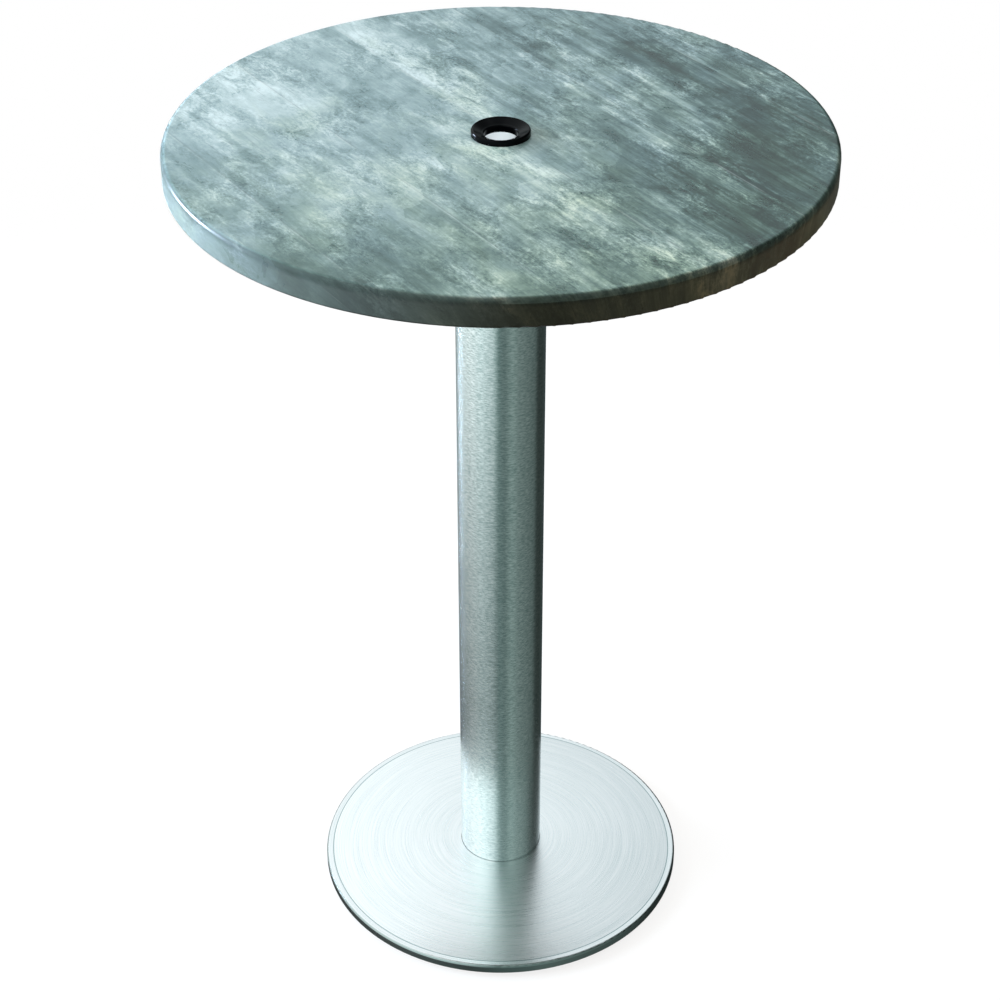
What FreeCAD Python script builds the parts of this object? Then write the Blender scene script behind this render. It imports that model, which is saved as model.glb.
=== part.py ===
import FreeCAD, Part
import math
import os

import Sketcher

# A round bar-height garden table: moulded top, umbrella ring, stainless column,
# spun and domed base cover over a ballast plate, four levelling glides.
# Millimetres, +Z up, origin on the floor under the middle of the base.

SIZES = {
    # Moulded top
    "table_height": 1085.0,
    "top_diameter": 762.0,
    "top_edge_thickness": 34.5,
    "top_panel_thickness": 20.0,
    "top_rim_width": 30.0,
    "top_rim_slope": 10.0,
    "top_edge_round": 6.0,
    "top_under_round": 3.0,
    # Way of the umbrella pole, and the ring that lines its mouth
    "pole_way_diameter": 51.0,
    "pole_bore": 39.0,
    "ring_flange_diameter": 68.0,
    "ring_flange_height": 7.0,
    "ring_flange_round": 2.5,
    "ring_mouth_round": 2.0,
    "ring_dish": 5.0,
    "ring_seat_depth": 1.0,
    "ring_sleeve_length": 6.6,
    "ring_fit": 0.15,
    # Spider under the top
    "spider_thickness": 5.0,
    "spider_hub_diameter": 126.0,
    "spider_arm_width": 48.0,
    "spider_arm_reach": 170.0,
    "spider_corner_round": 10.0,
    # Screws, washers and inserts that hold the spider to the top
    "top_screw_end_distance": 22.0,
    "top_screw_spacing": 50.0,
    "top_screw_diameter": 6.0,
    "top_screw_length": 14.0,
    "top_screw_head_diameter": 11.0,
    "top_screw_head_height": 3.3,
    "top_screw_head_chamfer": 0.8,
    "washer_diameter": 14.0,
    "washer_thickness": 1.2,
    "insert_diameter": 9.6,
    "insert_length": 12.0,
    "insert_room": 0.5,
    # Column with a flange welded in each end
    "column_diameter": 108.0,
    "column_wall": 2.0,
    "upper_flange_thickness": 10.0,
    "foot_flange_thickness": 12.0,
    "flange_fit": 0.1,
    # Countersunk screws from the spider into the upper flange
    "spider_screw_circle": 78.0,
    "spider_screw_diameter": 8.0,
    "spider_screw_head_diameter": 16.0,
    "spider_screw_length": 14.0,
    # Base cover
    "base_diameter": 480.0,
    "cover_gauge": 1.2,
    "cover_edge_round": 3.0,
    "cover_land": 6.0,
    "cover_crown": 10.5,
    "cover_dome_radius": 1500.0,
    "cover_rim_gap": 7.5,
    "cover_hole_play": 0.4,
    # Ballast plate, and the countersunk screws from below it into the foot flange
    "ballast_thickness": 10.0,
    "ballast_gap": 3.5,
    "ballast_chamfer": 1.5,
    "drain_diameter": 12.0,
    "base_screw_circle": 72.0,
    "base_screw_diameter": 10.0,
    "base_screw_head_diameter": 20.0,
    "base_screw_length": 20.0,
    # Levelling glides
    "glide_inset": 50.0,
    "glide_pad_diameter": 36.0,
    "glide_pad_height": 4.5,
    "glide_pad_round": 1.0,
    "glide_pad_sole": 1.4,
    "glide_button_diameter": 14.0,
    "glide_button_height": 1.6,
    "glide_button_lift": 0.2,
    "glide_neck_diameter": 7.0,
    "glide_collar_flats": 17.0,
    "glide_collar_height": 3.2,
    "glide_collar_gap": 0.3,
    "glide_stem_diameter": 10.0,
    "glide_stem_stand": 3.0,
    "glide_stem_chamfer": 1.0,
    "glide_swivel_play": 0.08,
    "glide_thread_play": 0.05,
    # Radial clearance of a screw in a thread, and in a hole that it passes through
    "thread_play": 0.1,
    "screw_play": 0.3,
}

# How many of each, and the angle of the first one about the Z axis, in degrees
ARM_COUNT = 4
ARM_ANGLE = 0
FLANGE_SCREW_COUNT = 4
FLANGE_SCREW_ANGLE = 45
GLIDE_COUNT = 4
GLIDE_ANGLE = 45

# Turns of an arc in an outline
LEFT = 1
RIGHT = -1

FULL_TURN = 360
HEXAGON_SIDES = 6
COUNTERSINK_ANGLE = 90

# Two places closer than this are the same place
SAME_PLACE = 0.001

doc = FreeCAD.newDocument("GardenTable")
sheet = doc.addObject("Spreadsheet::Sheet", "Sizes")
for row, (alias, value) in enumerate(SIZES.items(), start=1):
    sheet.set(f"A{row}", alias)
    sheet.set(f"B{row}", str(value))
    sheet.setAlias(f"B{row}", alias)
doc.recompute()

# Levels above the floor, from the glides up and from the top's face down
GLIDE_BUTTON_FACE = "(Sizes.glide_pad_sole + Sizes.glide_button_height)"
BALLAST_UNDERSIDE = "(Sizes.glide_pad_height + Sizes.glide_collar_gap + Sizes.glide_collar_height)"
BALLAST_FACE = f"({BALLAST_UNDERSIDE} + Sizes.ballast_thickness)"
COVER_LAND = f"({BALLAST_FACE} + Sizes.cover_gauge)"
COVER_CROWN = f"({COVER_LAND} + Sizes.cover_crown)"
TOP_FACE = "Sizes.table_height"
RING_SEAT = f"({TOP_FACE} - Sizes.ring_seat_depth)"
TOP_EDGE_UNDERSIDE = f"({TOP_FACE} - Sizes.top_edge_thickness)"
PANEL_UNDERSIDE = f"({TOP_FACE} - Sizes.top_panel_thickness)"
SPIDER_UNDERSIDE = f"({PANEL_UNDERSIDE} - Sizes.spider_thickness)"
WASHER_UNDERSIDE = f"({SPIDER_UNDERSIDE} - Sizes.washer_thickness)"

# Radii and reaches shared by pieces that meet
POLE_WAY_RADIUS = "Sizes.pole_way_diameter / 2"
POLE_BORE_RADIUS = "Sizes.pole_bore / 2"
RING_FLANGE_RADIUS = "Sizes.ring_flange_diameter / 2"
COLUMN_RADIUS = "Sizes.column_diameter / 2"
COLUMN_BORE_RADIUS = f"({COLUMN_RADIUS} - Sizes.column_wall)"
TOP_SCREW_OUTER_REACH = "(Sizes.spider_arm_reach - Sizes.top_screw_end_distance)"
TOP_SCREW_REACHES = (f"({TOP_SCREW_OUTER_REACH} - Sizes.top_screw_spacing)", TOP_SCREW_OUTER_REACH)
SPIDER_SCREW_REACH = "Sizes.spider_screw_circle / 2"
BASE_SCREW_REACH = "Sizes.base_screw_circle / 2"
BALLAST_RADIUS = "(Sizes.base_diameter / 2 - Sizes.cover_gauge - Sizes.ballast_gap)"
GLIDE_REACH = f"({BALLAST_RADIUS} - Sizes.glide_inset)"

# Heights of the countersunk heads, whose cones are square
SPIDER_SCREW_CONE = "(Sizes.spider_screw_head_diameter - Sizes.spider_screw_diameter) / 2"
BASE_SCREW_CONE = "(Sizes.base_screw_head_diameter - Sizes.base_screw_diameter) / 2"


def new_body(label):
    """An empty body whose label names its file."""
    body = doc.addObject("PartDesign::Body", label)
    body.Label = label
    return body


def origin_feature(body, role):
    """The body's own origin plane or axis with that role."""
    return next(feature for feature in body.Origin.OriginFeatures if feature.Role == role)


def new_sketch(body, name, plane, level=None):
    """A sketch on one of the body's origin planes, raised to a level along the plane's normal."""
    sketch = body.newObject("Sketcher::SketchObject", name)
    sketch.AttachmentSupport = (origin_feature(body, plane), [""])
    sketch.MapMode = "FlatFace"
    if level is not None:
        sketch.setExpression("AttachmentOffset.Base.z", level)
    return sketch


def bind(sketch, kind, elements, expression):
    """A dimension of the sketch that follows an expression of the sheet's cells."""
    value = float(sketch.evalExpression(expression))
    index = sketch.addConstraint(Sketcher.Constraint(kind, *elements, value))
    sketch.setExpression(f"Constraints[{index}]", expression)


def bind_point(sketch, element, point, across, up):
    """A point of the sketch held at two expressions from the origin."""
    bind(sketch, "DistanceX", (-1, 1, element, point), across)
    bind(sketch, "DistanceY", (-1, 1, element, point), up)


def arc_between(start, end, radius, turn):
    """The arc of at most a half circle from start to end that turns left or right."""
    chord = end - start
    half = chord.Length / 2
    left = FreeCAD.Vector(-chord.y, chord.x, 0) / chord.Length
    centre = (start + end) / 2 + left * turn * math.sqrt(radius**2 - half**2)
    first, last = (start, end) if turn == LEFT else (end, start)
    angles = [math.atan2(point.y - centre.y, point.x - centre.x) for point in (first, last)]
    return Part.ArcOfCircle(Part.Circle(centre, FreeCAD.Vector(0, 0, 1), radius), *angles)


def closed_outline(sketch, corners):
    """A closed outline through corners (across, up), each followed by a line,
    or by an arc where the corner also gives a radius and a turn."""
    points = []
    for across, up, *arc in corners:
        points.append(FreeCAD.Vector(sketch.evalExpression(across), sketch.evalExpression(up), 0))
    stretches = []
    for corner, start, end in zip(corners, points, points[1:] + points[:1]):
        if len(corner) == 2:
            element = sketch.addGeometry(Part.LineSegment(start, end), False)
            stretches.append((element, 1, 2))
            continue
        radius, turn = corner[2:]
        arc = arc_between(start, end, sketch.evalExpression(radius), turn)
        element = sketch.addGeometry(arc, False)
        stretches.append((element, 1, 2) if turn == LEFT else (element, 2, 1))
    for stretch, following in zip(stretches, stretches[1:] + stretches[:1]):
        ends = (stretch[0], stretch[2], following[0], following[1])
        sketch.addConstraint(Sketcher.Constraint("Coincident", *ends))
    for (element, start, _), (across, up, *arc) in zip(stretches, corners):
        bind_point(sketch, element, start, across, up)
        if arc:
            bind(sketch, "Radius", (element,), arc[0])


def circle(sketch, radius, centre=None):
    """A circle about the sketch's origin, or about a centre (across, up)."""
    place = FreeCAD.Vector()
    if centre is not None:
        place = FreeCAD.Vector(*(sketch.evalExpression(part) for part in centre), 0)
    round_edge = Part.Circle(place, FreeCAD.Vector(0, 0, 1), sketch.evalExpression(radius))
    element = sketch.addGeometry(round_edge, False)
    if centre is None:
        sketch.addConstraint(Sketcher.Constraint("Coincident", element, 3, -1, 1))
    else:
        bind_point(sketch, element, 3, *centre)
    bind(sketch, "Radius", (element,), radius)


def at_angle(radius, degrees):
    """Expressions of the point at a radius and an angle about the origin."""
    return f"({radius}) * cos({degrees} deg)", f"({radius}) * sin({degrees} deg)"


def turned(body, name, corners, reach=None):
    """A solid of revolution of a section in the XZ plane, about Z or about an upright line at a reach,
    from which the section's corners are then measured."""
    sketch = new_sketch(body, f"{name}Section", "XZ_Plane")
    axis = (origin_feature(body, "Z_Axis"), [""])
    if reach is None:
        closed_outline(sketch, corners)
    else:
        closed_outline(sketch, [(f"{reach} + {across}", up) for across, up in corners])
        foot = FreeCAD.Vector(sketch.evalExpression(reach), 0, 0)
        line = sketch.addGeometry(Part.LineSegment(foot, foot + FreeCAD.Vector(0, 1, 0)), True)
        sketch.addConstraint(Sketcher.Constraint("Vertical", line))
        bind_point(sketch, line, 1, reach, "0")
        axis = (sketch, ["Axis0"])
    feature = body.newObject("PartDesign::Revolution", name)
    feature.Profile = sketch
    feature.ReferenceAxis = axis
    feature.Angle = FULL_TURN
    doc.recompute()
    return feature


def padded(body, name, sketch, length):
    """The sketch raised by a length along +Z."""
    feature = body.newObject("PartDesign::Pad", name)
    feature.Profile = sketch
    feature.setExpression("Length", length)
    doc.recompute()
    return feature


def drilled(body, name, sketch, diameter, upward=True, depth=None, head=None):
    """Holes at the sketch's circles, through or to a depth, with a square countersink for a head."""
    doc.recompute()
    volume = body.Shape.Volume
    hole = body.newObject("PartDesign::Hole", name)
    hole.Profile = sketch
    hole.ThreadType = "None"
    hole.Reversed = upward
    hole.DrillPoint = "Flat"
    hole.setExpression("Diameter", diameter)
    hole.DepthType = "ThroughAll" if depth is None else "Dimension"
    if depth is not None:
        hole.setExpression("Depth", depth)
    if head is not None:
        hole.HoleCutType = "Countersink"
        hole.HoleCutCustomValues = True
        hole.HoleCutCountersinkAngle = COUNTERSINK_ANGLE
        hole.setExpression("HoleCutDiameter", head)
    doc.recompute()
    if not body.Shape.Volume < volume:
        raise RuntimeError(f"{name} of {body.Label} cuts nothing")
    return hole


def repeated(body, name, features, count):
    """The features copied evenly round the Z axis."""
    pattern = body.newObject("PartDesign::PolarPattern", name)
    pattern.Originals = features
    pattern.Axis = (origin_feature(body, "Z_Axis"), [""])
    pattern.Angle = FULL_TURN
    pattern.Occurrences = count
    body.Tip = pattern
    doc.recompute()
    return pattern


def is_upright(edge):
    """Whether an edge is a straight one along Z."""
    if len(edge.Vertexes) < 2:
        return False
    first, last = (vertex.Point for vertex in edge.Vertexes)
    return math.hypot(first.x - last.x, first.y - last.y) < SAME_PLACE


def reach_of(edge):
    """How far the middle of an edge is from the Z axis."""
    return math.hypot(edge.CenterOfMass.x, edge.CenterOfMass.y)


def eased(body, name, kind, size, is_chosen):
    """Fillets or chamfers of one size on the body's chosen edges."""
    base = body.Tip
    edges = [f"Edge{index}" for index, edge in enumerate(base.Shape.Edges, start=1) if is_chosen(edge)]
    feature = body.newObject(kind, name)
    feature.Base = (base, edges)
    feature.setExpression(*size)
    doc.recompute()
    return feature


def turn_body(body, degrees):
    """The body turned about the Z axis."""
    body.Placement = FreeCAD.Placement(FreeCAD.Vector(), FreeCAD.Rotation(FreeCAD.Vector(0, 0, 1), degrees))


def ring_section(inner, outer, low, high):
    """Corners of a plain ring's section."""
    return [(inner, low), (outer, low), (outer, high), (inner, high)]


def screw_group(label, reaches, count, angle, corners):
    """Like screws, washers or inserts at each reach, round the table in one group of separate solids."""
    body = new_body(label)
    features = [turned(body, f"Piece{place}", corners, reach) for place, reach in enumerate(reaches, start=1)]
    repeated(body, "Round", features, count)
    turn_body(body, angle)
    return body


def flange(label, level, thickness, bore_radius, screw_reach, screw_diameter):
    """Ring that fits in the column's end, with tapped holes right through."""
    body = new_body(label)
    outline = new_sketch(body, "RingOutline", "XY_Plane", level)
    circle(outline, f"{COLUMN_BORE_RADIUS} - Sizes.flange_fit")
    circle(outline, bore_radius)
    padded(body, "Ring", outline, thickness)
    place = new_sketch(body, "ScrewPlace", "XY_Plane", level)
    circle(place, f"{screw_diameter} / 2", at_angle(screw_reach, FLANGE_SCREW_ANGLE))
    holes = drilled(body, "ScrewHoles", place, f"{screw_diameter} + 2 * Sizes.thread_play")
    repeated(body, "ScrewHolesRound", [holes], FLANGE_SCREW_COUNT)
    return body


def place_glide(body, number):
    """The glide's own axis moved to its place under the ballast plate."""
    degrees = GLIDE_ANGLE + FULL_TURN / GLIDE_COUNT * (number - 1)
    across, along = at_angle(GLIDE_REACH, degrees)
    body.setExpression("Placement.Base.x", across)
    body.setExpression("Placement.Base.y", along)


def make_table_top():
    """Moulded top: rounded edge, rim turned down round a recessed panel, seat for the umbrella ring,
    and blind holes for the threaded inserts."""
    body = new_body("table_top")
    radius = "Sizes.top_diameter / 2"
    rim_inside = f"{radius} - Sizes.top_rim_width"
    seat_radius = f"{RING_FLANGE_RADIUS} + Sizes.ring_fit"
    turned(body, "Moulding", [
        (POLE_WAY_RADIUS, PANEL_UNDERSIDE),
        (f"{rim_inside} - Sizes.top_rim_slope", PANEL_UNDERSIDE),
        (rim_inside, TOP_EDGE_UNDERSIDE),
        (f"{radius} - Sizes.top_under_round", TOP_EDGE_UNDERSIDE, "Sizes.top_under_round", LEFT),
        (radius, f"{TOP_EDGE_UNDERSIDE} + Sizes.top_under_round"),
        (radius, f"{TOP_FACE} - Sizes.top_edge_round", "Sizes.top_edge_round", LEFT),
        (f"{radius} - Sizes.top_edge_round", TOP_FACE),
        (seat_radius, TOP_FACE),
        (seat_radius, RING_SEAT),
        (POLE_WAY_RADIUS, RING_SEAT),
    ])
    places = new_sketch(body, "InsertPlaces", "XY_Plane", PANEL_UNDERSIDE)
    for reach in TOP_SCREW_REACHES:
        circle(places, "Sizes.insert_diameter / 2", at_angle(reach, ARM_ANGLE))
    holes = drilled(
        body, "InsertHoles", places, "Sizes.insert_diameter + 2 * Sizes.thread_play",
        depth="Sizes.insert_length + Sizes.insert_room",
    )
    repeated(body, "InsertHolesRound", [holes], ARM_COUNT)
    return body


def make_umbrella_ring():
    """Moulded ring: rounded flange, a funnel down to the bore, and a short sleeve in the hole."""
    body = new_body("umbrella_ring")
    sleeve_radius = f"{POLE_WAY_RADIUS} - Sizes.ring_fit"
    sleeve_end = f"{TOP_FACE} - Sizes.ring_sleeve_length"
    crest = f"{TOP_FACE} + Sizes.ring_flange_height"
    mouth = f"{crest} - Sizes.ring_dish"
    turned(body, "Ring", [
        (POLE_BORE_RADIUS, sleeve_end),
        (sleeve_radius, sleeve_end),
        (sleeve_radius, RING_SEAT),
        (RING_FLANGE_RADIUS, RING_SEAT),
        (RING_FLANGE_RADIUS, f"{crest} - Sizes.ring_flange_round", "Sizes.ring_flange_round", LEFT),
        (f"{RING_FLANGE_RADIUS} - Sizes.ring_flange_round", crest),
        (f"{POLE_BORE_RADIUS} + Sizes.ring_mouth_round", mouth, "Sizes.ring_mouth_round", LEFT),
        (POLE_BORE_RADIUS, f"{mouth} - Sizes.ring_mouth_round"),
    ])
    return body


def make_top_inserts():
    """Threaded inserts moulded into the panel's underside."""
    bore = "Sizes.top_screw_diameter / 2 + Sizes.thread_play"
    return screw_group("top_inserts", TOP_SCREW_REACHES, ARM_COUNT, ARM_ANGLE, ring_section(
        bore, "Sizes.insert_diameter / 2", PANEL_UNDERSIDE, f"{PANEL_UNDERSIDE} + Sizes.insert_length",
    ))


def make_top_washers():
    """Plain washers between the spider and the heads of the top's screws."""
    hole = "Sizes.top_screw_diameter / 2 + Sizes.screw_play"
    return screw_group("top_washers", TOP_SCREW_REACHES, ARM_COUNT, ARM_ANGLE, ring_section(
        hole, "Sizes.washer_diameter / 2", WASHER_UNDERSIDE, SPIDER_UNDERSIDE,
    ))


def make_top_screws():
    """Pan-head screws up through the spider into the inserts."""
    shank = "Sizes.top_screw_diameter / 2"
    head = "Sizes.top_screw_head_diameter / 2"
    head_face = f"{WASHER_UNDERSIDE} - Sizes.top_screw_head_height"
    tip = f"{WASHER_UNDERSIDE} + Sizes.top_screw_length"
    crown = f"{head} - Sizes.top_screw_head_chamfer"
    return screw_group("top_screws", TOP_SCREW_REACHES, ARM_COUNT, ARM_ANGLE, [
        ("0", head_face),
        (crown, head_face),
        (head, f"{head_face} + Sizes.top_screw_head_chamfer"),
        (head, WASHER_UNDERSIDE),
        (shank, WASHER_UNDERSIDE),
        (shank, tip),
        ("0", tip),
    ])


def make_mounting_spider():
    """Steel plate cut to a hub with round-ended arms, drilled for the pole and for both sets of screws."""
    body = new_body("mounting_spider")
    half_width = "Sizes.spider_arm_width / 2"
    arm_root = "Sizes.spider_hub_diameter / 4"
    arm_bend = f"Sizes.spider_arm_reach - {half_width}"
    hub_outline = new_sketch(body, "HubOutline", "XY_Plane", SPIDER_UNDERSIDE)
    circle(hub_outline, "Sizes.spider_hub_diameter / 2")
    padded(body, "Hub", hub_outline, "Sizes.spider_thickness")
    arm_outline = new_sketch(body, "ArmOutline", "XY_Plane", SPIDER_UNDERSIDE)
    closed_outline(arm_outline, [
        (arm_root, f"-{half_width}"),
        (arm_bend, f"-{half_width}", half_width, LEFT),
        ("Sizes.spider_arm_reach", "0", half_width, LEFT),
        (arm_bend, half_width),
        (arm_root, half_width),
    ])
    arm = padded(body, "Arm", arm_outline, "Sizes.spider_thickness")
    repeated(body, "Arms", [arm], ARM_COUNT)
    hub_radius = SIZES["spider_hub_diameter"] / 2
    eased(
        body, "Crotches", "PartDesign::Fillet", ("Radius", "Sizes.spider_corner_round"),
        lambda edge: is_upright(edge) and abs(reach_of(edge) - hub_radius) < SAME_PLACE,
    )

    pole_place = new_sketch(body, "PolePlace", "XY_Plane", SPIDER_UNDERSIDE)
    circle(pole_place, POLE_WAY_RADIUS)
    drilled(body, "PoleHole", pole_place, "Sizes.pole_way_diameter")
    arm_places = new_sketch(body, "ArmScrewPlaces", "XY_Plane", SPIDER_UNDERSIDE)
    for reach in TOP_SCREW_REACHES:
        circle(arm_places, "Sizes.top_screw_diameter / 2", at_angle(reach, ARM_ANGLE))
    arm_holes = drilled(body, "ArmHoles", arm_places, "Sizes.top_screw_diameter + 2 * Sizes.screw_play")
    repeated(body, "ArmHolesRound", [arm_holes], ARM_COUNT)
    hub_places = new_sketch(body, "HubScrewPlaces", "XY_Plane", PANEL_UNDERSIDE)
    circle(hub_places, "Sizes.spider_screw_diameter / 2", at_angle(SPIDER_SCREW_REACH, FLANGE_SCREW_ANGLE))
    hub_holes = drilled(
        body, "HubHoles", hub_places, "Sizes.spider_screw_diameter + 2 * Sizes.screw_play",
        upward=False, head="Sizes.spider_screw_head_diameter + 2 * Sizes.thread_play",
    )
    repeated(body, "HubHolesRound", [hub_holes], FLANGE_SCREW_COUNT)
    return body


def make_spider_screws():
    """Countersunk screws, flush with the spider's upper face, down into the upper flange."""
    return screw_group("spider_screws", [SPIDER_SCREW_REACH], FLANGE_SCREW_COUNT, FLANGE_SCREW_ANGLE, [
        ("0", f"{PANEL_UNDERSIDE} - Sizes.spider_screw_length"),
        ("Sizes.spider_screw_diameter / 2", f"{PANEL_UNDERSIDE} - Sizes.spider_screw_length"),
        ("Sizes.spider_screw_diameter / 2", f"{PANEL_UNDERSIDE} - {SPIDER_SCREW_CONE}"),
        ("Sizes.spider_screw_head_diameter / 2", PANEL_UNDERSIDE),
        ("0", PANEL_UNDERSIDE),
    ])


def make_upper_flange():
    """Steel ring welded into the column's upper end, tapped for the spider's screws."""
    return flange(
        "upper_flange", f"{SPIDER_UNDERSIDE} - Sizes.upper_flange_thickness", "Sizes.upper_flange_thickness",
        POLE_WAY_RADIUS, SPIDER_SCREW_REACH, "Sizes.spider_screw_diameter",
    )


def make_column():
    """Round tube from the ballast plate up to the spider."""
    body = new_body("column")
    section = new_sketch(body, "TubeSection", "XY_Plane", BALLAST_FACE)
    circle(section, COLUMN_RADIUS)
    circle(section, COLUMN_BORE_RADIUS)
    padded(body, "Tube", section, f"{SPIDER_UNDERSIDE} - {BALLAST_FACE}")
    return body


def make_foot_flange():
    """Steel ring welded into the column's lower end; its bore is the socket of the umbrella pole."""
    return flange(
        "foot_flange", BALLAST_FACE, "Sizes.foot_flange_thickness",
        POLE_BORE_RADIUS, BASE_SCREW_REACH, "Sizes.base_screw_diameter",
    )


def make_base_cover():
    """Spun sheet cover: upright rim, rounded edge, narrow flat land that sits on the ballast plate,
    and a shallow dome up to the hole that the column passes through."""
    body = new_body("base_cover")
    radius = "Sizes.base_diameter / 2"
    hole = f"{COLUMN_RADIUS} + Sizes.cover_hole_play"
    edge = f"{radius} - Sizes.cover_edge_round"
    dome_foot = f"{edge} - Sizes.cover_land"
    rim_inside = f"{radius} - Sizes.cover_gauge"
    rim_head = f"{COVER_LAND} - Sizes.cover_edge_round"
    turned(body, "Spinning", [
        (rim_inside, "Sizes.cover_rim_gap"),
        (radius, "Sizes.cover_rim_gap"),
        (radius, rim_head, "Sizes.cover_edge_round", LEFT),
        (edge, COVER_LAND),
        (dome_foot, COVER_LAND, "Sizes.cover_dome_radius", LEFT),
        (hole, COVER_CROWN),
        (hole, f"{COVER_CROWN} - Sizes.cover_gauge", "Sizes.cover_dome_radius", RIGHT),
        (dome_foot, BALLAST_FACE),
        (edge, BALLAST_FACE, "Sizes.cover_edge_round - Sizes.cover_gauge", RIGHT),
        (rim_inside, rim_head),
    ])
    return body


def make_ballast_plate():
    """Steel disc under the column, drilled for the base screws, the glides and a drain."""
    body = new_body("ballast_plate")
    outline = new_sketch(body, "DiscOutline", "XY_Plane", BALLAST_UNDERSIDE)
    circle(outline, BALLAST_RADIUS)
    disc = padded(body, "Disc", outline, "Sizes.ballast_thickness")
    underside = disc.Shape.BoundBox.ZMin
    eased(
        body, "LowerEdge", "PartDesign::Chamfer", ("Size", "Sizes.ballast_chamfer"),
        lambda edge: edge.BoundBox.ZMax - underside < SAME_PLACE,
    )

    drain_place = new_sketch(body, "DrainPlace", "XY_Plane", BALLAST_UNDERSIDE)
    circle(drain_place, "Sizes.drain_diameter / 2")
    drilled(body, "Drain", drain_place, "Sizes.drain_diameter")
    screw_place = new_sketch(body, "ScrewPlace", "XY_Plane", BALLAST_UNDERSIDE)
    circle(screw_place, "Sizes.base_screw_diameter / 2", at_angle(BASE_SCREW_REACH, FLANGE_SCREW_ANGLE))
    screw_holes = drilled(
        body, "ScrewHoles", screw_place, "Sizes.base_screw_diameter + 2 * Sizes.screw_play",
        head="Sizes.base_screw_head_diameter + 2 * Sizes.thread_play",
    )
    repeated(body, "ScrewHolesRound", [screw_holes], FLANGE_SCREW_COUNT)
    glide_place = new_sketch(body, "GlidePlace", "XY_Plane", BALLAST_UNDERSIDE)
    circle(glide_place, "Sizes.glide_stem_diameter / 2", at_angle(GLIDE_REACH, GLIDE_ANGLE))
    glide_holes = drilled(
        body, "GlideHoles", glide_place, "Sizes.glide_stem_diameter + 2 * Sizes.glide_thread_play",
    )
    repeated(body, "GlideHolesRound", [glide_holes], GLIDE_COUNT)
    return body


def make_base_screws():
    """Countersunk screws, flush with the ballast plate's underside, up into the foot flange."""
    tip = f"{BALLAST_UNDERSIDE} + Sizes.base_screw_length"
    return screw_group("base_screws", [BASE_SCREW_REACH], FLANGE_SCREW_COUNT, FLANGE_SCREW_ANGLE, [
        ("0", BALLAST_UNDERSIDE),
        ("Sizes.base_screw_head_diameter / 2", BALLAST_UNDERSIDE),
        ("Sizes.base_screw_diameter / 2", f"{BALLAST_UNDERSIDE} + {BASE_SCREW_CONE}"),
        ("Sizes.base_screw_diameter / 2", tip),
        ("0", tip),
    ])


def make_glide_pad(number):
    """Moulded pad with rounded edges and a socket that the stem's button snaps into."""
    body = new_body(f"glide_pad_{number}")
    radius = "Sizes.glide_pad_diameter / 2"
    shoulder = f"{radius} - Sizes.glide_pad_round"
    throat = "Sizes.glide_neck_diameter / 2 + Sizes.glide_swivel_play"
    socket = "Sizes.glide_button_diameter / 2 + Sizes.glide_swivel_play"
    socket_roof = f"{GLIDE_BUTTON_FACE} + Sizes.glide_button_lift"
    turned(body, "Pad", [
        ("0", "0"),
        (shoulder, "0", "Sizes.glide_pad_round", LEFT),
        (radius, "Sizes.glide_pad_round"),
        (radius, "Sizes.glide_pad_height - Sizes.glide_pad_round", "Sizes.glide_pad_round", LEFT),
        (shoulder, "Sizes.glide_pad_height"),
        (throat, "Sizes.glide_pad_height"),
        (throat, socket_roof),
        (socket, socket_roof),
        (socket, "Sizes.glide_pad_sole"),
        ("0", "Sizes.glide_pad_sole"),
    ])
    place_glide(body, number)
    return body


def make_glide_stem(number):
    """Threaded stem: button in the pad, neck, hexagon collar that stops on the ballast plate, thread."""
    body = new_body(f"glide_stem_{number}")
    button = "Sizes.glide_button_diameter / 2"
    neck = "Sizes.glide_neck_diameter / 2"
    thread = "Sizes.glide_stem_diameter / 2"
    collar_foot = "Sizes.glide_pad_height + Sizes.glide_collar_gap"
    tip = f"{BALLAST_FACE} + Sizes.glide_stem_stand"
    turned(body, "Stem", [
        ("0", "Sizes.glide_pad_sole"),
        (button, "Sizes.glide_pad_sole"),
        (button, GLIDE_BUTTON_FACE),
        (neck, GLIDE_BUTTON_FACE),
        (neck, collar_foot),
        (thread, collar_foot),
        (thread, f"{tip} - Sizes.glide_stem_chamfer"),
        (f"{thread} - Sizes.glide_stem_chamfer", tip),
        ("0", tip),
    ])
    hexagon = new_sketch(body, "CollarOutline", "XY_Plane", collar_foot)
    corner_radius = "Sizes.glide_collar_flats / sqrt(3)"
    corner_angles = [FULL_TURN / HEXAGON_SIDES * corner for corner in range(HEXAGON_SIDES)]
    closed_outline(hexagon, [at_angle(corner_radius, angle) for angle in corner_angles])
    padded(body, "Collar", hexagon, "Sizes.glide_collar_height")
    place_glide(body, number)
    return body


pieces = [
    make_table_top(),
    make_umbrella_ring(),
    make_top_inserts(),
    make_mounting_spider(),
    make_top_washers(),
    make_top_screws(),
    make_spider_screws(),
    make_upper_flange(),
    make_column(),
    make_foot_flange(),
    make_base_cover(),
    make_ballast_plate(),
    make_base_screws(),
]
for number in range(1, GLIDE_COUNT + 1):
    pieces.append(make_glide_pad(number))
    pieces.append(make_glide_stem(number))
doc.recompute()

failed = [item.Name for item in doc.Objects if {"Invalid", "Error"} & set(item.State)]
failed += [piece.Label for piece in pieces if piece.Shape.isNull() or not piece.Shape.isValid()]
if failed:
    raise RuntimeError(f"not built: {failed}")

os.makedirs("parts", exist_ok=True)
for piece in pieces:
    piece.Shape.exportStep(f"parts/{piece.Label}.step")
    print(piece.Label, len(piece.Shape.Solids), "solids", round(piece.Shape.Volume), "mm3")
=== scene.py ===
import math

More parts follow.
